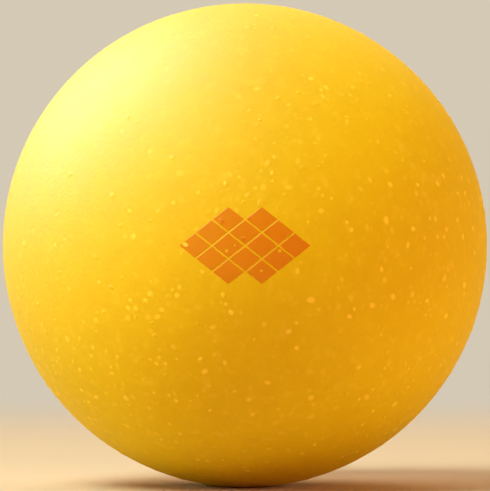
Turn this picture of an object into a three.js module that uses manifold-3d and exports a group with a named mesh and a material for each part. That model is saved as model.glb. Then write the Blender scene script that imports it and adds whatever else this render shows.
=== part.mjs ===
// A moulded polyurethane foam ball, in millimetres, +Z up.
//
// The ball is cast in a two-part mould. A colour coat is sprayed into each mould half, so the
// skin is two half shells that meet at the parting plane, y = 0. Foam is then poured through a
// gate at the pole of the rear half. It fills the skin and the gate, and the stub that is left
// in the gate is trimmed flush. The ball stands on the small flat that its own weight presses
// into the soft skin. The origin is at the middle of that flat.
import * as THREE from "three";
import { mergeVertices } from "three/addons/utils/BufferGeometryUtils.js";
import Module from "manifold-3d";

// Driving dimensions
const BALL_DIAMETER = 70;
const SKIN_THICKNESS = 1.2; // colour coat and the dense foam behind it
const BOND_CLEARANCE = 0.3; // between the skin's inside and the foam
const GATE_DIAMETER = 6; // the pour hole in the rear skin
const REST_FLAT_DIAMETER = 6; // the pressed flat under the ball

// How finely round surfaces are faceted
const ROUND_SEGMENTS = 48; // round a full circle
const GATE_SEGMENTS = 24;

// Worked out from the driving dimensions
const ballRadius = BALL_DIAMETER / 2;
const cavityRadius = ballRadius - SKIN_THICKNESS;
const foamRadius = cavityRadius - BOND_CLEARANCE;
const gateRadius = GATE_DIAMETER / 2;
const stubRadius = gateRadius - BOND_CLEARANCE;
const restRadius = REST_FLAT_DIAMETER / 2;
const centreHeight = Math.sqrt(ballRadius ** 2 - restRadius ** 2); // the flat is a chord of the ball
const gateFace = Math.sqrt(ballRadius ** 2 - gateRadius ** 2); // y at which the stub is trimmed

// Colours and finishes
const skinFinish = new THREE.MeshStandardMaterial({ color: 0xf8b410, roughness: 0.45, metalness: 0 });
const foamFinish = new THREE.MeshStandardMaterial({ color: 0xf3c65a, roughness: 0.95, metalness: 0 });

const wasm = await Module();
wasm.setup();

// A closed three.js geometry as a solid that can be cut and joined.
function solidFrom(geometry) {
  const bare = geometry.clone();
  bare.deleteAttribute("normal");
  bare.deleteAttribute("uv");
  const merged = mergeVertices(bare);
  return new wasm.Manifold(
    new wasm.Mesh({
      numProp: 3,
      vertProperties: merged.attributes.position.array,
      triVerts: new Uint32Array(merged.index.array),
    }),
  );
}

// A solid as a named mesh with its finish.
function meshFrom(solid, name, finish) {
  const { vertProperties, triVerts } = solid.getMesh();
  const geometry = new THREE.BufferGeometry();
  geometry.setAttribute("position", new THREE.BufferAttribute(vertProperties, 3));
  geometry.setIndex(new THREE.BufferAttribute(triVerts, 1));
  geometry.computeVertexNormals();
  const mesh = new THREE.Mesh(geometry, finish);
  mesh.name = name;
  return mesh;
}

// A ball about the origin, turned round the Z axis and cut flat below -bottom.
// Angles go round from straight down, and one ring of corners lies on the equator.
function ballGeometry(radius, bottom) {
  const flatEdge = Math.acos(bottom / radius);
  const quarterSteps = ROUND_SEGMENTS / 4;
  const profile = [];
  if (flatEdge > 0) profile.push(new THREE.Vector2(0, -bottom));
  for (const [from, to] of [[flatEdge, Math.PI / 2], [Math.PI / 2, Math.PI]]) {
    for (let step = 0; step < quarterSteps; step += 1) {
      const angle = THREE.MathUtils.lerp(from, to, step / quarterSteps);
      profile.push(new THREE.Vector2(radius * Math.sin(angle), -radius * Math.cos(angle)));
    }
  }
  profile.push(new THREE.Vector2(0, radius));
  return new THREE.LatheGeometry(profile, ROUND_SEGMENTS).rotateX(Math.PI / 2);
}

// A round bar along Y, from the ball's centre to where it ends.
function barAlongY(radius, end) {
  return new THREE.CylinderGeometry(radius, radius, end, GATE_SEGMENTS).translate(0, end / 2, 0);
}

// A block that holds the half space y < 0 or y > 0 round the ball.
function halfSpace(side) {
  return new THREE.BoxGeometry(2 * BALL_DIAMETER, BALL_DIAMETER, 2 * BALL_DIAMETER).translate(
    0,
    (side * BALL_DIAMETER) / 2,
    0,
  );
}

// The skin is the ball less its cavity, parted at y = 0. The gate goes through the rear half.
const ball = solidFrom(ballGeometry(ballRadius, centreHeight));
const cavity = solidFrom(ballGeometry(cavityRadius, cavityRadius));
const gate = solidFrom(barAlongY(gateRadius, BALL_DIAMETER));
const skin = ball.subtract(cavity);
const frontSkin = skin.intersect(solidFrom(halfSpace(-1)));
const rearSkin = skin.intersect(solidFrom(halfSpace(1))).subtract(gate);

// The foam fills the cavity, and its trimmed stub fills the gate.
const foamBall = solidFrom(ballGeometry(foamRadius, foamRadius));
const gateStub = solidFrom(barAlongY(stubRadius, gateFace));
const foamCore = foamBall.add(gateStub);

const foamBallToy = new THREE.Group();
foamBallToy.position.z = centreHeight;
foamBallToy.add(meshFrom(frontSkin, "front_skin", skinFinish));
foamBallToy.add(meshFrom(rearSkin, "rear_skin", skinFinish));
foamBallToy.add(meshFrom(foamCore, "foam_core", foamFinish));

const part = new THREE.Group();
part.add(foamBallToy);

export default part;
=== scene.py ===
# %% [markdown]
# # A moulded foam ball
# The ball is cast from polyurethane foam in a two-part mould. Colour is sprayed into both mould halves
# first, so the outside is a thin skin in two halves. The foam that is poured in behind it fills the
# ball and the pour gate. A small ink patch is printed on the front last of all. This lesson dresses the
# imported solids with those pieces. A plain sphere with a yellow colour would do from across a room.
# Close to, the pinholes, the parting line, the cut foam in the gate and the ink over the skin are what
# make it read as cast foam, so those are real geometry.

import math

import bmesh
import bpy
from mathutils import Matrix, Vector
from mathutils import noise as soft_noise


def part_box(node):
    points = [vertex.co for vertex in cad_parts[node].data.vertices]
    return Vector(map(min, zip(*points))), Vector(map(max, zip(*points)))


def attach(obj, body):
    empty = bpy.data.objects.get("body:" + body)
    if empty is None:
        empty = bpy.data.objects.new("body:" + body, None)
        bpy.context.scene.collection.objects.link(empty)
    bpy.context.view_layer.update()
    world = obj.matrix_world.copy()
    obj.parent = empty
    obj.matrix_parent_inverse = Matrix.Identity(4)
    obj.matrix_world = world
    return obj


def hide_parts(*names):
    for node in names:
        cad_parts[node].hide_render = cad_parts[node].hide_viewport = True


MM = 0.001
QUARTER_TURN = math.pi / 2
BOND_CLEARANCE = 0.3 * MM  # between the skin and the foam, as in the solids
NECK_CLEARANCE = 0.02 * MM  # between the foam's neck and the gate's wall

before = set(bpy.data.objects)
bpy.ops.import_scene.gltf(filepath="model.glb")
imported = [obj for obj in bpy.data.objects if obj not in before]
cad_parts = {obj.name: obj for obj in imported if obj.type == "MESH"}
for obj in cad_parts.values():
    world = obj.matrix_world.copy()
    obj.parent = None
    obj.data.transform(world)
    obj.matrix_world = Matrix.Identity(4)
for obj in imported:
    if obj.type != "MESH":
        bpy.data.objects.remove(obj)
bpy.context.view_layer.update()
front_low, front_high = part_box("front_skin")
foam_low, foam_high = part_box("foam_core")

ball_radius = -front_low.y
ball_centre = Vector((0, 0, front_high.z - ball_radius))
foam_radius = -foam_low.y
cavity_radius = foam_radius + BOND_CLEARANCE
gate_face = foam_high.y  # the y at which the stub is trimmed
gate_radius = math.sqrt(ball_radius**2 - gate_face**2)
stub_radius = gate_radius - NECK_CLEARANCE  # the foam's neck fills the gate

scene = bpy.context.scene
print(f"ball {2e3 * ball_radius:.1f} mm across, wall {1e3 * (ball_radius - cavity_radius):.2f} mm")
print(f"gate {2e3 * gate_radius:.1f} mm across, trimmed at y = {1e3 * gate_face:.2f} mm")

# %% [markdown]
# ## A camera that looks straight at the print
# The print sits in the middle of the ball's outline, so the camera is level with the centre of the ball
# and looks at the front pole. A long lens from an arm's length keeps the outline a true circle. The
# lens is worked out from the size that the ball has in the picture, because a sphere's outline is a
# little nearer than its centre.

# %% Make the camera
PICTURE_HEIGHT = 491
BALL_RADIUS_IN_PICTURE = 242
SENSOR = 36  # mm
CAMERA_DISTANCE = 0.7

outline_slope = ball_radius / math.sqrt(CAMERA_DISTANCE**2 - ball_radius**2)
lens = bpy.data.cameras.new("camera")
lens.sensor_width = SENSOR
lens.lens = SENSOR * BALL_RADIUS_IN_PICTURE / (PICTURE_HEIGHT * outline_slope)
camera = bpy.data.objects.new("camera", lens)
camera.location = ball_centre + Vector((0, -CAMERA_DISTANCE, 0))
camera.rotation_euler = (QUARTER_TURN, 0, 0)
scene.collection.objects.link(camera)
scene.camera = camera
print(f"lens {lens.lens:.0f} mm at {CAMERA_DISTANCE} m")

# %% [markdown]
# ## Wires between nodes
# Geometry Nodes and shaders are both trees of nodes. Writing every node and link by hand hides the idea
# behind many lines, so one small class holds a node's output. Its operators add Math nodes, so that a
# formula in the script reads as a formula. Its node method adds any other node: settings first, then
# values or links.


# %% One class for every node tree
def pick(sockets, key):
    """The socket with that number, or the first one in use that has that name."""
    if isinstance(key, int):
        return sockets[key]
    return next(s for s in sockets if s.name == key and s.enabled)


class Wire:
    """A node's output in a tree, as a value to reckon with."""

    def __init__(self, tree, socket=None):
        self.tree = tree
        self.socket = socket

    def node(self, kind, settings=None, values=None, out=0):
        """Add a node of a kind with its settings, then its values or links, and return one output."""
        made = self.tree.nodes.new(kind)
        for name, setting in (settings or {}).items():
            setattr(made, name, setting)
        for key, value in (values or {}).items():
            socket = pick(made.inputs, key)
            if isinstance(value, Wire):
                self.tree.links.new(value.socket, socket)
            else:
                socket.default_value = value
        return Wire(self.tree, pick(made.outputs, out))

    def also(self, out):
        """Another output of the same node."""
        return Wire(self.tree, pick(self.socket.node.outputs, out))

    def math(self, operation, *values):
        """A Math node."""
        return self.node("ShaderNodeMath", {"operation": operation}, dict(enumerate(values)))

    def vector(self, operation, values):
        """A Vector Math node that gives a vector."""
        return self.node("ShaderNodeVectorMath", {"operation": operation}, values)

    def __add__(self, other):
        return self.math("ADD", self, other)

    __radd__ = __add__

    def __sub__(self, other):
        return self.math("SUBTRACT", self, other)

    def __rsub__(self, other):
        return self.math("SUBTRACT", other, self)

    def __mul__(self, other):
        return self.math("MULTIPLY", self, other)

    __rmul__ = __mul__

    def __truediv__(self, other):
        return self.math("DIVIDE", self, other)

    def __rtruediv__(self, other):
        return self.math("DIVIDE", other, self)

    def __pow__(self, other):
        return self.math("POWER", self, other)


# %% [markdown]
# ## Noise at a size in millimetres
# Cast foam is never quite even. Every material below needs soft, random changes at some real size, such
# as blotches of 2 mm or a grain of half a millimetre. Blender's Noise Texture takes a scale, which is
# how many features there are in one metre here, so a helper turns a size into that scale. Object
# coordinates keep the pattern fixed to the piece.


# %% A noise helper and a starter for materials
def noise(place, size, detail=2.0, roughness=0.5):
    """Random values round 0.5 whose features are about one size wide, in metres."""
    values = {"Vector": place, "Scale": 1 / size, "Detail": detail, "Roughness": roughness}
    return place.node("ShaderNodeTexNoise", {"noise_dimensions": "3D"}, values)


def mix(factor, first, second):
    """A colour between two colours."""
    return factor.node("ShaderNodeMix", {"data_type": "RGBA"}, {0: factor, 6: first, 7: second}, 2)


def start_material(name, **constants):
    """A material, a wire of the object's own coordinates, and the shader that the finish goes to."""
    made = bpy.data.materials.new(name)
    made.use_nodes = True
    shader = made.node_tree.nodes["Principled BSDF"]
    for label, value in constants.items():
        shader.inputs[label.replace("_", " ").title().replace("Ior", "IOR")].default_value = value
    place = Wire(made.node_tree).node("ShaderNodeTexCoord", out="Object")
    return made, place, shader


def plug(shader, label, wire):
    """Feed one of the shader's sockets."""
    wire.tree.links.new(wire.socket, shader.inputs[label])


def bump(shader, height, depth):
    """Small relief of a depth in metres, on top of the mesh."""
    relief = height.node("ShaderNodeBump", {}, {"Strength": 1.0, "Distance": depth, "Height": height})
    plug(shader, "Normal", relief)


# %% [markdown]
# ## The skin's finish
# The skin is golden yellow with a satin gloss. Pigment settles unevenly while the coat dries, so the
# colour drifts over centimetres, mottles over millimetres and has a fine grain, and faint blotches show
# where the coat is thin. Where a bubble thins it further, the pale foam shows through as a fleck. The
# mesh carries the flecks in an attribute called pale, because they are also small pits and blisters in
# the mesh. A texture could fake them, but then the colour and the relief would not fall on the same
# spots.

# %% Make the golden skin
GOLD = (0.785, 0.552, 0.004, 1)
DEEP_GOLD = (0.728, 0.484, 0.002, 1)
THIN_COAT = (1.000, 0.700, 0.045, 1)
SKIN_GLOSS = 0.13
DRIFT_SIZE = 24 * MM
MOTTLE_SIZE = 2.6 * MM
GRAIN_SIZE = 0.60 * MM
BLOTCH_SIZE = 1.5 * MM
COLOUR_CONTRAST = 3.0
BLOTCH_RANGE = {"From Min": 0.56, "From Max": 0.78, "To Max": 0.28}  # noise in, thinness out
SKIN_RELIEF = 0.055 * MM

golden_skin, place, shader = start_material("golden_skin", specular_ior_level=SKIN_GLOSS)
drift = noise(place, DRIFT_SIZE)
mottle = noise(place, MOTTLE_SIZE, 3.0, 0.6)
grain = noise(place, GRAIN_SIZE, 3.0, 0.6)
fleck = place.node("ShaderNodeAttribute", {"attribute_name": "pale"}, out="Fac")
blend = (0.40 * drift + 0.35 * mottle + 0.25 * grain - 0.5) * COLOUR_CONTRAST + 0.5
blend = blend.node("ShaderNodeClamp", {}, {"Value": blend})
skin_colour = mix(blend, DEEP_GOLD, GOLD)
blotch = noise(place, BLOTCH_SIZE, 2.0)
blotch = blotch.node("ShaderNodeMapRange", {}, {"Value": blotch} | BLOTCH_RANGE)
thinned = fleck.math("MAXIMUM", fleck, blotch)
plug(shader, "Base Color", mix(thinned, skin_colour, THIN_COAT))
plug(shader, "Roughness", 0.58 + 0.12 * mottle)
bump(shader, 0.8 * grain + 0.2 * mottle, SKIN_RELIEF)
print("golden skin:", len(golden_skin.node_tree.nodes), "nodes")

# %% [markdown]
# ## The foam's finish
# Inside, the foam has no coat. It is paler, quite matt and full of small open cells. The cells of the
# cut end are in its mesh. The finer ones between them would take too many faces, so they are a Voronoi
# pattern in the bump, and their hollows are coloured darker than their walls: painted shade.

# %% Make the cut foam
FOAM_WALL = (0.960, 0.720, 0.210, 1)
FOAM_HOLLOW_PAINTED_SHADE = (0.820, 0.480, 0.075, 1)
FOAM_GLOSS = 0.2
FINE_CELL_SIZE = 0.5 * MM
FINE_CELL_RELIEF = 0.03 * MM
TINT_SIZE = 1.5 * MM

pale_foam, place, shader = start_material("pale_foam", specular_ior_level=FOAM_GLOSS)
values = {"Vector": place, "Scale": 1 / FINE_CELL_SIZE}
cell = place.node("ShaderNodeTexVoronoi", {"feature": "F1"}, values)
tint = noise(place, TINT_SIZE, 3.0)
# painted shade: the hollows of the fine cells are coloured darker than their walls
plug(shader, "Base Color", mix(0.85 * cell + 0.3 * tint - 0.1, FOAM_HOLLOW_PAINTED_SHADE, FOAM_WALL))
plug(shader, "Roughness", 0.86 + 0.1 * tint)
bump(shader, cell, FINE_CELL_RELIEF)
print("pale foam:", len(pale_foam.node_tree.nodes), "nodes")

# %% [markdown]
# ## The ink's finish
# The patch is pad printed: a soft pad lifts ink from a plate and presses it on the ball. The film is
# thin, so the yellow below warms it. It is uneven where the pad lifted off. It is also paler and
# yellower towards the left, which is painted light: the left side is the lit one. It is slightly
# glossier than the skin. A picture of ink could be laid on, but two noises and the place along X are
# enough.

# %% Make the orange ink
PATCH_WIDTH = 18.4 * MM
PATCH_HEIGHT = 10.9 * MM
INK = (0.680, 0.205, 0.002, 1)
THIN_INK_AND_PAINTED_LIGHT = (0.680, 0.300, 0.004, 1)
INK_GLOSS = 0.15
INK_GRAIN_SIZE = 1.2 * MM
INK_PATCH_SIZE = 7 * MM
INK_RELIEF = 0.006 * MM

orange_ink, place, shader = start_material("orange_ink", specular_ior_level=INK_GLOSS)
across = place.node("ShaderNodeSeparateXYZ", {}, {0: place}, "X") / PATCH_WIDTH
fine = noise(place, INK_GRAIN_SIZE, 4.0, 0.65)
wide = noise(place, INK_PATCH_SIZE, 2.0)
# painted light: the term along X makes the ink paler and yellower towards the lit left side; the two noises
# are the real unevenness of the print
lift_off_and_painted_light = 0.6 * fine + 0.5 * wide - 0.5 * across - 0.2
lift_off_and_painted_light = lift_off_and_painted_light.node("ShaderNodeClamp", {}, {"Value": lift_off_and_painted_light})
plug(shader, "Base Color", mix(lift_off_and_painted_light, INK, THIN_INK_AND_PAINTED_LIGHT))
plug(shader, "Roughness", 0.40 + 0.14 * lift_off_and_painted_light)
bump(shader, lift_off_and_painted_light, INK_RELIEF)
print("orange ink:", len(orange_ink.node_tree.nodes), "nodes")

# %% [markdown]
# ## Trees that make meshes
# A Geometry Nodes tree is a recipe: it makes the same shape again from a few named sizes. Here a tree
# is laid on an empty object, its inputs are set, and the result is taken off as a plain mesh. The
# modifier then goes, so that what is handed on is a mesh that any other program can read.


# %% Start a recipe, and take the mesh that it makes
def start_recipe(name, inputs):
    """A new tree with named inputs, as a wire to build on and a wire for each input."""
    tree = bpy.data.node_groups.new(name, "GeometryNodeTree")
    for label, kind in inputs.items():
        tree.interface.new_socket(label, in_out="INPUT", socket_type="NodeSocket" + kind)
    tree.interface.new_socket("Mesh", in_out="OUTPUT", socket_type="NodeSocketGeometry")
    given = tree.nodes.new("NodeGroupInput")
    return Wire(tree), {label: Wire(tree, given.outputs[label]) for label in inputs}


def finish_recipe(shape, material):
    """End a tree: real geometry, smooth faces, one material."""
    shape = shape.node("GeometryNodeSetShadeSmooth", {}, {0: shape})
    shape = shape.node("GeometryNodeRealizeInstances", {}, {0: shape})
    shape = shape.node("GeometryNodeSetMaterial", {}, {"Geometry": shape, "Material": material})
    end = shape.tree.nodes.new("NodeGroupOutput")
    shape.tree.links.new(shape.socket, end.inputs[0])
    return shape.tree


def cook(tree, values):
    """The plain mesh that a tree makes from these values."""
    carrier = bpy.data.objects.new(tree.name, bpy.data.meshes.new(tree.name))
    scene.collection.objects.link(carrier)
    recipe = carrier.modifiers.new("recipe", "NODES")
    recipe.node_group = tree
    for socket in tree.interface.items_tree:
        if socket.in_out == "INPUT":
            recipe[socket.identifier] = values[socket.name]
    graph = bpy.context.evaluated_depsgraph_get()
    ready = carrier.evaluated_get(graph)
    mesh = bpy.data.meshes.new_from_object(ready, preserve_all_data_layers=True, depsgraph=graph)
    bpy.data.objects.remove(carrier)
    return mesh


def scatter(wire, low, high, seed):
    """A random value for each element."""
    values = {"Min": low, "Max": high, "Seed": seed}
    return wire.node("FunctionNodeRandomValue", {"data_type": "FLOAT"}, values, "Value")


def keep(shape, domain, name, value, only=None):
    """Store a number on the points or faces of a shape under a name."""
    values = {"Geometry": shape, "Name": name, "Value": value}
    if only is not None:
        values["Selection"] = only
    return shape.node("GeometryNodeStoreNamedAttribute", {"data_type": "FLOAT", "domain": domain}, values)


def kept(wire, name):
    """Read a number that was stored under a name."""
    return wire.node("GeometryNodeInputNamedAttribute", {"data_type": "FLOAT"}, {"Name": name}, "Attribute")


def drop(shape, domain, chosen):
    """Take the chosen points or faces off a shape."""
    values = {"Geometry": shape, "Selection": chosen}
    return shape.node("GeometryNodeDeleteGeometry", {"domain": domain}, values)


def square_grid(wire, width, points):
    """A flat square of a width, with so many points along each side."""
    values = {"Size X": width, "Size Y": width, "Vertices X": points, "Vertices Y": points}
    return wire.node("GeometryNodeMeshGrid", {}, values)


# %% [markdown]
# ## The skin, with its pinholes and blisters
# Bubbles in the drying coat leave small marks. Some burst and leave a shallow pit, some stay as low
# blisters. They gather in drifts and clusters, and there are more where the coat ran thin. A
# displacement texture would need millions of faces to show marks half a millimetre wide. Instead an
# icosphere with shifted points is turned into its dual mesh: a skin of uneven six-sided cells. A random
# few cells get a mark: a rim that is drawn in and set off the cell's middle, and a crown inside it that
# is lifted or sunk. One subdivision makes both round. So there are faces where the marks are, and few
# elsewhere. Last, every point goes to its radius.

# %% How the marks lie on the skin
SPHERE_SUBDIVISIONS = 6
CROWN_SIZE = 0.48  # a mark's crown against its rim
DRIFT_OF_MARKS = 11 * MM
CLUSTER_OF_MARKS = 3 * MM
# how far a spot faces the thin side, and how many marks that gives it
THIN_RANGE = {"From Min": -0.1, "From Max": 0.6, "To Min": 0.20, "To Max": 1.1}
MOST_CROWDED = 0.35  # the chance of a mark, where they are thickest
FAINTEST_MARK = 0.12
PALE_RANGE = 0.80
PALE_BIAS = 2.2  # above 1, so that most marks are faint
UNEVEN_SIZE = 14 * MM


def random_way(wire, reach, seed):
    """A random vector of at most a reach along each axis, for each element."""
    values = {"Min": (-1, -1, -1), "Max": (1, 1, 1), "Seed": seed}
    way = wire.node("FunctionNodeRandomValue", {"data_type": "FLOAT_VECTOR"}, values, "Value")
    return wire.vector("SCALE", {0: way, "Scale": reach})


def draw_in(shape, chosen, scale, centre):
    """Draw the chosen faces in towards a centre, with new faces round them.

    Returns the shape, and which of its faces are the inner ones.
    """
    values = {"Mesh": shape, "Selection": chosen, "Offset Scale": 0.0, "Individual": True}
    shape = shape.node("GeometryNodeExtrudeMesh", {"mode": "FACES"}, values, "Mesh")
    inner = shape.also("Top")
    values = {"Geometry": shape, "Selection": inner, "Scale": scale, "Center": centre}
    return shape.node("GeometryNodeScaleElements", {"domain": "FACE"}, values), inner


# %% The recipe for the whole cast skin
def cast_skin_recipe():
    """A ball of skin with its marks, from the sizes that it is given."""
    wire, given = start_recipe(
        "cast_skin",
        {
            "Radius": "Float",
            "Centre": "Vector",
            "Cell shift": "Float",
            "Share of cells marked": "Float",
            "Mark shift": "Float",
            "Thin side": "Vector",
            "Smallest mark": "Float",
            "Largest mark": "Float",
            "Deepest pit": "Float",
            "Highest blister": "Float",
            "Unevenness": "Float",
            "Seed": "Int",
        },
    )
    place = wire.node("GeometryNodeInputPosition")
    seed = given["Seed"]
    # uneven cells
    values = {"Radius": given["Radius"], "Subdivisions": SPHERE_SUBDIVISIONS}
    shape = wire.node("GeometryNodeMeshIcoSphere", {}, values)
    values = {"Geometry": shape, "Offset": random_way(wire, given["Cell shift"], seed)}
    shape = wire.node("GeometryNodeSetPosition", {}, values)
    shape = wire.node("GeometryNodeDualMesh", {}, {0: shape})
    # which cells get a mark, and what each mark is like
    outwards = wire.vector("NORMALIZE", {0: place})
    values = {0: outwards, 1: given["Thin side"]}
    towards = wire.node("ShaderNodeVectorMath", {"operation": "DOT_PRODUCT"}, values, 1)
    thinness = wire.node("ShaderNodeMapRange", {}, {"Value": towards} | THIN_RANGE)
    gathered = 2.0**3 * noise(place, DRIFT_OF_MARKS, 2.0) ** 3.0  # 1 where the noise is at its mean
    clustered = 2.0**2 * noise(place, CLUSTER_OF_MARKS, 1.0) ** 2.0
    chance = given["Share of cells marked"] * gathered * clustered * thinness
    values = {"Probability": chance.math("MINIMUM", chance, MOST_CROWDED), "Seed": seed + 1}
    marked = wire.node("FunctionNodeRandomValue", {"data_type": "BOOLEAN"}, values, "Value")
    size = scatter(wire, given["Smallest mark"], given["Largest mark"], seed + 2)
    lift = scatter(wire, -1.0 * given["Deepest pit"], given["Highest blister"], seed + 3)
    shape = keep(shape, "FACE", "mark_size", size)
    shape = keep(shape, "FACE", "mark_lift", lift)
    paleness = FAINTEST_MARK + PALE_RANGE * scatter(wire, 0.0, 1.0, seed + 4) ** PALE_BIAS
    shape = keep(shape, "FACE", "mark_pale", paleness)
    # a rim and a crown in each marked cell
    shape = keep(shape, "POINT", "lift", 0.0)
    shape = keep(shape, "POINT", "pale", 0.0)
    aside = wire.vector("ADD", {0: place, 1: random_way(wire, given["Mark shift"], seed + 5)})
    shape, rim = draw_in(shape, marked, kept(wire, "mark_size"), aside)
    shape, crown = draw_in(shape, rim, CROWN_SIZE, place)
    shape = keep(shape, "POINT", "lift", kept(wire, "mark_lift"), crown)
    shape = keep(shape, "POINT", "pale", kept(wire, "mark_pale"), crown)
    # round marks, and every point at its radius
    shape = wire.node("GeometryNodeSubdivisionSurface", {}, {"Mesh": shape, "Level": 1})
    uneven = (noise(place, UNEVEN_SIZE, 3.0) - 0.5) * given["Unevenness"]
    radius = given["Radius"] + kept(wire, "lift") + uneven
    point = wire.vector("SCALE", {0: outwards, "Scale": radius})
    point = wire.vector("ADD", {0: point, 1: given["Centre"]})
    shape = wire.node("GeometryNodeSetPosition", {}, {"Geometry": shape, "Position": point})
    return finish_recipe(shape, golden_skin)


# %% Cast the skin
cast_skin = cook(
    cast_skin_recipe(),
    {
        "Radius": ball_radius,
        "Centre": ball_centre,
        "Cell shift": 0.55 * MM,
        "Share of cells marked": 0.20,
        "Mark shift": 0.40 * MM,
        "Thin side": Vector((0.25, -0.5, -0.6)),  # the front, low and a little to the right
        "Smallest mark": 0.36,  # of its cell
        "Largest mark": 0.98,
        "Deepest pit": 0.04 * MM,
        "Highest blister": 0.08 * MM,
        "Unevenness": 0.10 * MM,
        "Seed": 13,
    },
)
print("cast skin:", len(cast_skin.polygons), "faces")

# %% [markdown]
# ## Parting the skin into its two halves
# The mould opens at the ball's widest circle, so the skin is two bowls that meet there. The whole skin
# is cut at that plane with bisect, which leaves a clean round edge. A few more cuts beside it add edge
# loops, and those carry the witness of the mould: a fine bead with a hairline in its middle. Each bowl
# then gets its wall: a rim, and an inside that lies against the foam. The rings have different numbers
# of points, so they are stitched by angle.

# %% Rings, stitches and cuts
RING_POINTS = 96  # in each ring that is added
CUT_TOLERANCE = 1e-7
SHARP_EDGE = math.radians(50)


def angle_of(vert):
    """The angle of a point round the Y axis through the ball's centre."""
    return math.atan2(vert.co.z - ball_centre.z, vert.co.x)


def off_axis(point):
    """The distance of a point from the Y axis through the ball's centre."""
    return math.hypot(point.x, point.z - ball_centre.z)


def add_ring(bm, radius, y):
    """A ring of points round the Y axis, in order of angle."""
    angles = [2 * math.pi * (step + 0.5) / RING_POINTS - math.pi for step in range(RING_POINTS)]
    around = [Vector((math.cos(a), 0, math.sin(a))) for a in angles]
    return [bm.verts.new(ball_centre + radius * way + Vector((0, y, 0))) for way in around]


def stitch(bm, first, second):
    """Triangles between two rings that start near the same angle, whatever their numbers of points."""
    turns = []
    for ring in (first, second):
        turns.append([angle_of(vert) for vert in ring] + [angle_of(ring[0]) + 2 * math.pi])
    i = 0
    j = 0
    while i < len(first) or j < len(second):
        a = first[i % len(first)]
        b = second[j % len(second)]
        if j == len(second) or (i < len(first) and turns[0][i + 1] <= turns[1][j + 1]):
            bm.faces.new((a, first[(i + 1) % len(first)], b))
            i += 1
        else:
            bm.faces.new((a, second[(j + 1) % len(second)], b))
            j += 1


def edge_ring(bm, near):
    """The points of the open edge for which near(point) holds, walked round from the smallest angle."""
    edges = [e for e in bm.edges if e.is_boundary and near(e.verts[0].co) and near(e.verts[1].co)]
    beside = {}
    for edge in edges:
        for vert in edge.verts:
            beside.setdefault(vert, []).append(edge.other_vert(vert))
    first = min(beside, key=angle_of)
    ring = [first, min(beside[first], key=angle_of)]
    while len(ring) < len(beside):
        ring.append(next(v for v in beside[ring[-1]] if v is not ring[-2]))
    return ring


def cut(bm, y, side, clear):
    """Cut at a plane across Y. With clear, what lies beyond it from that side goes."""
    bmesh.ops.bisect_plane(
        bm,
        geom=bm.verts[:] + bm.edges[:] + bm.faces[:],
        dist=CUT_TOLERANCE,
        plane_co=ball_centre + Vector((0, y, 0)),
        plane_no=Vector((0, side, 0)),
        clear_inner=clear,
    )


def close_pole(bm, ring, y):
    """Close a ring with a fan of faces to one point on the axis."""
    tip = bm.verts.new(ball_centre + Vector((0, y, 0)))
    for a, b in zip(ring, ring[1:] + ring[:1]):
        bm.faces.new((a, b, tip))


def piece_from(bm, name, material):
    """A finished piece: faces outwards, smooth, with its sharp edges kept."""
    bmesh.ops.recalc_face_normals(bm, faces=bm.faces)
    mesh = bpy.data.meshes.new(name)
    bm.to_mesh(mesh)
    open_edges = sum(not e.is_manifold for e in bm.edges)
    volume = bm.calc_volume(signed=True)
    bm.free()
    mesh.shade_smooth()
    mesh.set_sharp_from_angle(angle=SHARP_EDGE)
    mesh.materials.clear()
    mesh.materials.append(material)
    made = bpy.data.objects.new(name, mesh)
    scene.collection.objects.link(made)
    print(f"{name}: {len(mesh.polygons)} faces, {open_edges} open edges, {volume * 1e6:.2f} cm3")
    return made


# %% [markdown]
# ## The bead, the flat and the gate
# The bead is a few hundredths of a millimetre high: the mould halves never close perfectly, and the
# flash is rubbed down by hand, here more and there less. Under the ball its own weight presses a small
# flat, made by moving what would lie below the floor up to it. At the back pole the pour gate goes
# through the wall, with a soft lip where the stub was torn and trimmed. Each profile is a short list of
# points, because its shape follows no rule.

# %% The profiles of the bead and of the gate's lip
# each point: mm from the parting plane, mm high
BEAD = ((0.0, -0.070), (0.05, 0.025), (0.14, 0.060), (0.26, 0.036), (0.45, 0.0))
# each point: mm off the gate, mm high
LIP = ((0.9, 0.0), (0.6, 0.025), (0.35, 0.055), (0.16, 0.060), (0.04, 0.020), (0.0, -0.08))
BEAD_LEFT = 0.65  # of the bead's height, after rubbing
BEAD_SWING = 0.35  # by how much more or less is left
RUBBED_PATCHES = 5.0  # the higher, the shorter the rubbed stretches of the bead


def bead_height(distance):
    """The bead's height at a distance from the parting plane, in metres."""
    for (start, low), (end, high) in zip(BEAD, BEAD[1:]):
        if distance <= end * MM:
            share = (distance / MM - start) / (end - start)
            return (low + share * (high - low)) * MM
    return 0.0


def rubbed(way):
    """How much of the bead is left in a direction from the ball's middle."""
    return BEAD_LEFT + BEAD_SWING * soft_noise.noise(way * RUBBED_PATCHES)


def skin_height(radius):
    """How far along Y the skin's outside lies from the middle, at a distance off the axis."""
    return math.sqrt(ball_radius**2 - radius**2)


for name, profile in (("bead", BEAD), ("gate's lip", LIP)):
    print(f"{name}: {max(high for _, high in profile):.3f} mm high")

# %% Shape one half of the skin
WALL_RINGS = 14  # rings from the rim to the pole
CLOSE = 0.035 * MM  # points of the skin that are closer than this become one
CLOSE_ON_LIP = 0.15 * MM  # and points on the lip's outer ring
ON_PLANE = 1e-6


def near_gate(point):
    """Whether a point lies round the gate's pole, far from the rim."""
    return point.y > 0.5 * ball_radius


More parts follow.
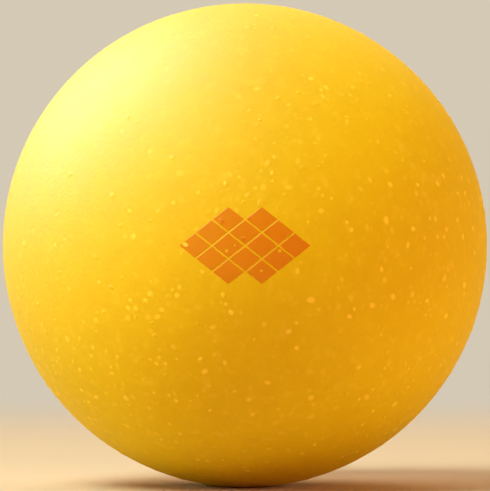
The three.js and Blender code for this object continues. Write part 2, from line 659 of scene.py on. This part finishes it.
def open_gate(bm):
    """Cut the gate out of the rear pole and line it. Returns the ring at the inside of the wall."""
    outer = gate_radius + LIP[0][0] * MM
    inside = [f for f in bm.faces if any(v.co.y > 0 and off_axis(v.co) < outer for v in f.verts)]
    bmesh.ops.delete(bm, geom=inside, context="FACES")
    last = edge_ring(bm, near_gate)
    for vert in last:
        way = Vector((vert.co.x, 0, vert.co.z - ball_centre.z)).normalized()
        vert.co = ball_centre + outer * way + Vector((0, skin_height(outer), 0))
    bmesh.ops.remove_doubles(bm, verts=last, dist=CLOSE_ON_LIP)
    last = edge_ring(bm, near_gate)
    for off, high in LIP[1:]:
        radius = gate_radius + off * MM
        ring = add_ring(bm, radius, skin_height(radius) + high * MM)
        stitch(bm, last, ring)
        last = ring
    ring = add_ring(bm, gate_radius, math.sqrt(cavity_radius**2 - gate_radius**2))
    stitch(bm, last, ring)
    return ring


def half_skin(name, side):
    """One bowl of the skin: the front one with side -1, the rear one, with the gate, with side 1."""
    bm = bmesh.new()
    bm.from_mesh(cast_skin)
    bmesh.ops.remove_doubles(bm, verts=bm.verts, dist=CLOSE)
    cut(bm, 0.0, side, True)
    for distance, _ in BEAD[1:]:
        cut(bm, side * distance * MM, side, False)
    for vert in bm.verts:
        offset = vert.co - ball_centre
        way = offset.normalized()
        vert.co += way * bead_height(abs(offset.y)) * rubbed(way)
        if abs(offset.y) < ON_PLANE:
            vert.co.y = 0.0
    last = edge_ring(bm, lambda point: abs(point.y) < ON_PLANE)
    pole = open_gate(bm) if side > 0 else None
    start = math.asin(gate_radius / cavity_radius) if side > 0 else 0.0
    for step in range(WALL_RINGS):
        angle = QUARTER_TURN + (start - QUARTER_TURN) * step / WALL_RINGS
        ring = add_ring(bm, cavity_radius * math.sin(angle), side * cavity_radius * math.cos(angle))
        stitch(bm, last, ring)
        last = ring
    if pole:
        stitch(bm, last, pole)
    else:
        close_pole(bm, last, side * cavity_radius)
    for vert in bm.verts:
        vert.co.z = max(vert.co.z, 0.0)
    return piece_from(bm, name, golden_skin)


front_half = half_skin("front_half_skin", -1)
rear_half = half_skin("rear_half_skin", 1)

# %% [markdown]
# ## The foam that fills it
# The core is turned like wood on a lathe: a ball with a short neck in the gate. Only the neck's cut end
# shows. There the trimming knife opened the foam's cells. A flat disc with a pattern would look
# printed, so the end is made of cells as the skin was, each one hollowed out in steps.

# %% The recipe for cut foam
SHEET_WIDTH = 2.6  # of the neck's radius: the cells are cut from a sheet that is wider than the neck
CELL_WANDER = 0.46  # of a cell
EDGE_ROOM = 0.4  # of a cell, left free inside the neck's edge
OPENING = (0.55, 0.93)  # of a cell: how wide the knife opened it
DEPTHS = (-1.0, -0.15)  # of the deepest cell, downwards
HOLLOW = ((0.85, 0.55), (0.70, 0.45))  # each step: its width against the last, its share of the depth


def cut_foam_recipe():
    """A round flat of open cells that faces along Y."""
    wire, given = start_recipe(
        "cut_foam",
        {
            "Radius": "Float",
            "Cell": "Float",
            "Deepest cell": "Float",
            "Height": "Vector",
            "Seed": "Int",
        },
    )
    place = wire.node("GeometryNodeInputPosition")
    # uneven cells inside the neck's edge
    count = SHEET_WIDTH * given["Radius"] / given["Cell"]
    width = SHEET_WIDTH * given["Radius"]
    shape = square_grid(wire, width, count)
    shape = wire.node("GeometryNodeTriangulate", {}, {0: shape})
    spread = {"Min": (-1, -1, 0), "Max": (1, 1, 0), "Seed": given["Seed"]}
    shift = wire.node("FunctionNodeRandomValue", {"data_type": "FLOAT_VECTOR"}, spread, "Value")
    shift = wire.vector("SCALE", {0: shift, "Scale": CELL_WANDER * given["Cell"]})
    shape = wire.node("GeometryNodeSetPosition", {}, {"Geometry": shape, "Offset": shift})
    shape = wire.node("GeometryNodeDualMesh", {}, {0: shape})
    far = wire.node("ShaderNodeVectorMath", {"operation": "LENGTH"}, {0: place}, "Value")
    outside = far.math("GREATER_THAN", far, given["Radius"] - EDGE_ROOM * given["Cell"])
    shape = drop(shape, "FACE", outside)
    # each cell hollowed out
    opened = scatter(wire, *OPENING, given["Seed"] + 2)
    top = True
    for scale, sunk in ((opened, 0.0), *HOLLOW):
        depth = given["Deepest cell"] * sunk * scatter(wire, *DEPTHS, given["Seed"] + 1)
        values = {"Mesh": shape, "Selection": top, "Offset Scale": depth, "Individual": True}
        shape = wire.node("GeometryNodeExtrudeMesh", {"mode": "FACES"}, values, "Mesh")
        top = shape.also("Top")
        values = {"Geometry": shape, "Selection": top, "Scale": scale}
        shape = wire.node("GeometryNodeScaleElements", {"domain": "FACE"}, values)
    values = {"Geometry": shape, "Translation": given["Height"], "Rotation": (-QUARTER_TURN, 0, 0)}
    shape = wire.node("GeometryNodeTransform", {}, values)
    return finish_recipe(shape, pale_foam)


# %% Turn the core and set the cut end in its neck
TRIM_DEPTH = 0.06 * MM  # the cut end sits this far under the gate's edge
CUT_EDGE = 0.05 * MM  # the straight edge round the cut end
FOAM_RINGS = 40


def foam_core():
    """The foam in one piece: the cut end, the neck and the ball."""
    bm = bmesh.new()
    end_y = gate_face - TRIM_DEPTH
    cells = cook(
        cut_foam_recipe(),
        {
            "Radius": stub_radius,
            "Cell": 0.38 * MM,
            "Deepest cell": 0.20 * MM,
            "Height": ball_centre + Vector((0, end_y, 0)),
            "Seed": 3,
        },
    )
    bm.from_mesh(cells)
    last = edge_ring(bm, lambda point: True)
    neck_start = math.sqrt(foam_radius**2 - stub_radius**2)
    for y in (end_y - CUT_EDGE, neck_start):
        ring = add_ring(bm, stub_radius, y)
        stitch(bm, last, ring)
        last = ring
    start = math.asin(stub_radius / foam_radius)
    for step in range(1, FOAM_RINGS):
        angle = start + (math.pi - start) * step / FOAM_RINGS
        ring = add_ring(bm, foam_radius * math.sin(angle), foam_radius * math.cos(angle))
        stitch(bm, last, ring)
        last = ring
    close_pole(bm, last, -foam_radius)
    return piece_from(bm, "foam_filling", pale_foam)


foam_filling = foam_core()

# %% [markdown]
# ## The printed patch
# The patch is a plain field of lozenges, as wide as the print on such balls usually is. Four by four
# small squares, turned by 45 degrees and without the top and bottom one, make five staggered rows. A
# pad presses the ink straight on, so every point of the flat pattern is sent along Y on to the skin
# with Raycast. The skin's paleness is read where the ray lands: ink does not reach into pinholes, so
# the film is open there.

# %% The recipe for the print
SQUARES = 4  # along each side of the field
SQUARE_PITCH = math.sqrt(0.5)  # squares on their corners then stand 1 apart
PRINT_EDGE_SIZE = 0.5 * MM  # the printed edges waver over this length
PRINT_EDGE_WANDER = 0.12 * MM
RAY_LENGTH = 0.1
PINHOLE_FROM = 0.62  # a paler spot of skin than this takes no ink
MISS_SPACING = 1.2 * MM
LARGEST_MISS = 0.20  # of that spacing
FILM_BASE = 0.2  # of the film: how far its underside stands off the skin
WELD = 0.001 * MM


def print_recipe():
    """A field of printed lozenges that lies on a skin."""
    wire, given = start_recipe(
        "printed_patch",
        {
            "Skin": "Object",
            "Middle": "Vector",
            "Pitch": "Vector",
            "Gap": "Float",
            "Film": "Float",
            "Fineness": "Int",
        },
    )
    place = wire.node("GeometryNodeInputPosition")
    index = wire.node("GeometryNodeInputIndex")
    # a field of squares without its first and last one
    spots = square_grid(wire, (SQUARES - 1) * SQUARE_PITCH, SQUARES)
    middle = (SQUARES**2 - 1) / 2
    end = index.math("COMPARE", index.math("ABSOLUTE", index - middle), middle, 0.1)
    spots = drop(spots, "POINT", end)
    square = square_grid(wire, SQUARE_PITCH - given["Gap"], given["Fineness"])
    shape = wire.node("GeometryNodeInstanceOnPoints", {}, {"Points": spots, "Instance": square})
    shape = wire.node("GeometryNodeRealizeInstances", {}, {0: shape})
    # turned on its corners and stood up in front of the ball
    values = {"Geometry": shape, "Rotation": (0, 0, QUARTER_TURN / 2)}
    shape = wire.node("GeometryNodeTransform", {}, values)
    values = {"Geometry": shape, "Rotation": (QUARTER_TURN, 0, 0), "Scale": given["Pitch"]}
    shape = wire.node("GeometryNodeTransform", {}, values)
    values = {"Geometry": shape, "Translation": given["Middle"]}
    shape = wire.node("GeometryNodeTransform", {}, values)
    # edges that waver
    wander = noise(place, PRINT_EDGE_SIZE).also("Color")
    wander = wire.vector("SUBTRACT", {0: wander, 1: (0.5, 0.5, 0.5)})
    wander = wire.vector("SCALE", {0: wander, "Scale": PRINT_EDGE_WANDER})
    shape = wire.node("GeometryNodeSetPosition", {}, {"Geometry": shape, "Offset": wander})
    # pressed on to the skin, and left bare where no ink took
    skin = wire.node("GeometryNodeObjectInfo", {}, {"Object": given["Skin"]}, "Geometry")
    values = {
        "Target Geometry": skin,
        "Attribute": kept(wire, "pale"),
        "Ray Direction": (0, 1, 0),
        "Ray Length": RAY_LENGTH,
    }
    ray = wire.node("GeometryNodeRaycast", {"data_type": "FLOAT"}, values, "Hit Position")
    pinhole = ray.math("GREATER_THAN", ray.also("Attribute"), PINHOLE_FROM)
    values = {"Vector": place, "Scale": 1 / MISS_SPACING}
    speck = wire.node("ShaderNodeTexVoronoi", {"feature": "F1"}, values, "Distance")
    luck = wire.node("ShaderNodeSeparateXYZ", {}, {0: speck.also("Color")})
    missed = speck.math("LESS_THAN", speck, LARGEST_MISS * luck**2.0)
    rise = wire.vector("SCALE", {0: ray.also("Hit Normal"), "Scale": FILM_BASE * given["Film"]})
    shape = keep(shape, "POINT", "bare", pinhole.math("MAXIMUM", pinhole, missed))
    values = {"Geometry": shape, "Position": wire.vector("ADD", {0: ray, 1: rise})}
    shape = wire.node("GeometryNodeSetPosition", {}, values)
    bare = kept(wire, "bare").math("GREATER_THAN", kept(wire, "bare"), 0.5)
    shape = drop(shape, "POINT", bare)
    # a film with a top, an underside and edges
    values = {"Mesh": shape, "Offset Scale": given["Film"], "Individual": False}
    top = wire.node("GeometryNodeExtrudeMesh", {"mode": "FACES"}, values, "Mesh")
    under = wire.node("GeometryNodeFlipFaces", {}, {"Mesh": shape})
    shape = wire.node("GeometryNodeJoinGeometry", {}, {0: top})
    shape.tree.links.new(under.socket, shape.socket.node.inputs[0])
    shape = wire.node("GeometryNodeMergeByDistance", {}, {"Geometry": shape, "Distance": WELD})
    return finish_recipe(shape, orange_ink)


# %% Print the patch
patch_mesh = cook(
    print_recipe(),
    {
        "Skin": front_half,
        "Middle": ball_centre + Vector((0, -1.2 * ball_radius, 0)),  # in front of the ball
        "Pitch": Vector((PATCH_WIDTH / SQUARES, PATCH_HEIGHT / (SQUARES - 1), 1)),
        "Gap": 0.055,  # of the pitch
        "Film": 0.012 * MM,
        "Fineness": 40,
    },
)
printed_patch = bpy.data.objects.new("printed_patch", patch_mesh)
scene.collection.objects.link(printed_patch)
print("printed patch:", len(patch_mesh.polygons), "faces")

# %% [markdown]
# ## A pale floor without an edge
# The ball stands on a wide pale floor. Close to the ball the floor is lit as it is, so it keeps the
# shadow. Further out it fades into a flat pale tone, and the sky behind has the same tone, so no
# horizon shows from any side. The tone is for rays that come straight from the camera or off a glossy
# thing. It puts no light on the ball.

# %% Lay the floor
SURROUND = (0.66, 0.585, 0.46, 1)
DEEP_SAND = (0.63, 0.51, 0.390, 1)
SAND = (0.65, 0.53, 0.410, 1)
SAND_DRIFT = 0.2
FLOOR_RADIUS = 6.0
FADE_FROM = 0.12  # metres from the ball
FADE_TO = 0.42


def seen(wire):
    """1 for a ray that shows the surround to the eye, directly or in a reflection."""
    direct = wire.node("ShaderNodeLightPath", out="Is Camera Ray")
    mirrored = wire.math("MAXIMUM", direct.also("Is Glossy Ray"), direct.also("Is Transmission Ray"))
    return wire.math("MAXIMUM", direct, mirrored)


def shown(wire, factor, lit, tone):
    """One shader where the factor is 0, another where it is 1."""
    return wire.node("ShaderNodeMixShader", {}, {0: factor, 1: lit, 2: tone})


pale_floor, place, shader = start_material("pale_floor", specular_ior_level=0.0, roughness=0.9)
plug(shader, "Base Color", mix(noise(place, SAND_DRIFT, 3.0), DEEP_SAND, SAND))
away = place.node("ShaderNodeVectorMath", {"operation": "LENGTH"}, {0: place}, "Value")
values = {"Value": away, "From Min": FADE_FROM, "From Max": FADE_TO}
fade = away.node("ShaderNodeMapRange", {"interpolation_type": "SMOOTHSTEP"}, values)
tone = place.node("ShaderNodeEmission", {}, {"Color": SURROUND})
lit = Wire(place.tree, shader.outputs[0])
surface = shown(place, fade * seen(place), lit, tone)
place.tree.links.new(surface.socket, place.tree.nodes["Material Output"].inputs["Surface"])

bm = bmesh.new()
bmesh.ops.create_circle(bm, cap_ends=True, radius=FLOOR_RADIUS, segments=96)
sheet = bpy.data.meshes.new("floor")
bm.to_mesh(sheet)
bm.free()
sheet.materials.append(pale_floor)
floor = bpy.data.objects.new("floor", sheet)
scene.collection.objects.link(floor)
print(f"floor {2 * FLOOR_RADIUS:.0f} m across, fades from {FADE_FROM} to {FADE_TO} m")

# %% Hang the sky
SKY_LIGHT = 0.04

sky = bpy.data.worlds.new("sky")
sky.use_nodes = True
wire = Wire(sky.node_tree)
dim = wire.node("ShaderNodeBackground", {}, {"Color": (1, 1, 1, 1), "Strength": SKY_LIGHT})
tone = wire.node("ShaderNodeBackground", {}, {"Color": SURROUND})
surface = shown(wire, seen(wire), dim, tone)
sky.node_tree.links.new(surface.socket, sky.node_tree.nodes["World Output"].inputs["Surface"])
scene.world = sky
scene.view_settings.view_transform = "Standard"
print("sky:", len(sky.node_tree.nodes), "nodes")

# %% [markdown]
# ## Soft lamps
# The key is a softbox up on the left. Its light falls off round the ball, from lemon yellow to deep
# gold. A large cool panel further round on the left lays a pale sheen over that edge and gives glare
# only. A low lamp on the left and a warm fill on the right open both sides. Light that wanders through
# foam comes out redder, so a weak red-orange lamp in front keeps the shade orange. A large warm lamp at
# the back lights the rear. One bright lamp would be simpler, but its shade would go brown. Only the key
# and the sheen show as glare. The glare of the others is taken off as a polarising filter does it in a
# studio: they are switched off for glossy rays.

# %% Set the lamps
# each lamp: azimuth from the camera and elevation in degrees, distance and side in metres, watts,
# colour, and what it gives
LAMPS = {
    "key": (-47, 52, 0.60, 0.30, 4.00, (0.95, 1.0, 0.78), "light and glare"),
    "sheen": (-106, 45, 0.60, 0.60, 35.0, (0.58, 0.66, 1.0), "glare"),
    "left": (-90, 6, 0.60, 0.30, 1.82, (1.0, 0.95, 0.75), "light"),
    "fill": (90, 4, 0.60, 0.30, 2.70, (1.0, 0.65, 0.40), "light"),
    "front": (10, 4, 0.60, 0.30, 1.20, (1.0, 0.20, 0.03), "light"),
    "back": (180, 52, 0.60, 0.60, 2.90, (1.0, 0.79, 0.56), "light"),
}
for name, (azimuth, elevation, distance, side, watts, colour, gives) in LAMPS.items():
    turn = math.radians(azimuth)
    rise = math.radians(elevation)
    way = Vector((math.cos(rise) * math.sin(turn), -math.cos(rise) * math.cos(turn), math.sin(rise)))
    light = bpy.data.lights.new(name, "AREA")
    light.size = side
    light.energy = watts
    light.color = colour
    lamp = bpy.data.objects.new(name, light)
    lamp.location = ball_centre + distance * way
    lamp.rotation_euler = way.to_track_quat("Z", "Y").to_euler()
    lamp.visible_camera = False
    lamp.visible_diffuse = "light" in gives
    lamp.visible_glossy = "glare" in gives
    scene.collection.objects.link(lamp)
print("lamps:", ", ".join(LAMPS))

# %% [markdown]
# ## Handing the pieces over
# Nothing on the ball moves, so each piece rides on its one body. The solid that each piece stands for
# is hidden. The ink stands for no solid: it only rides along.

# %% Tie the pieces to the frame
for piece, node, finish in (
    (front_half, "front_skin", "skin"),
    (rear_half, "rear_skin", "skin"),
    (foam_filling, "foam_core", "foam"),
):
    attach(piece, "root")
    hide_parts(node)
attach(printed_patch, "root")
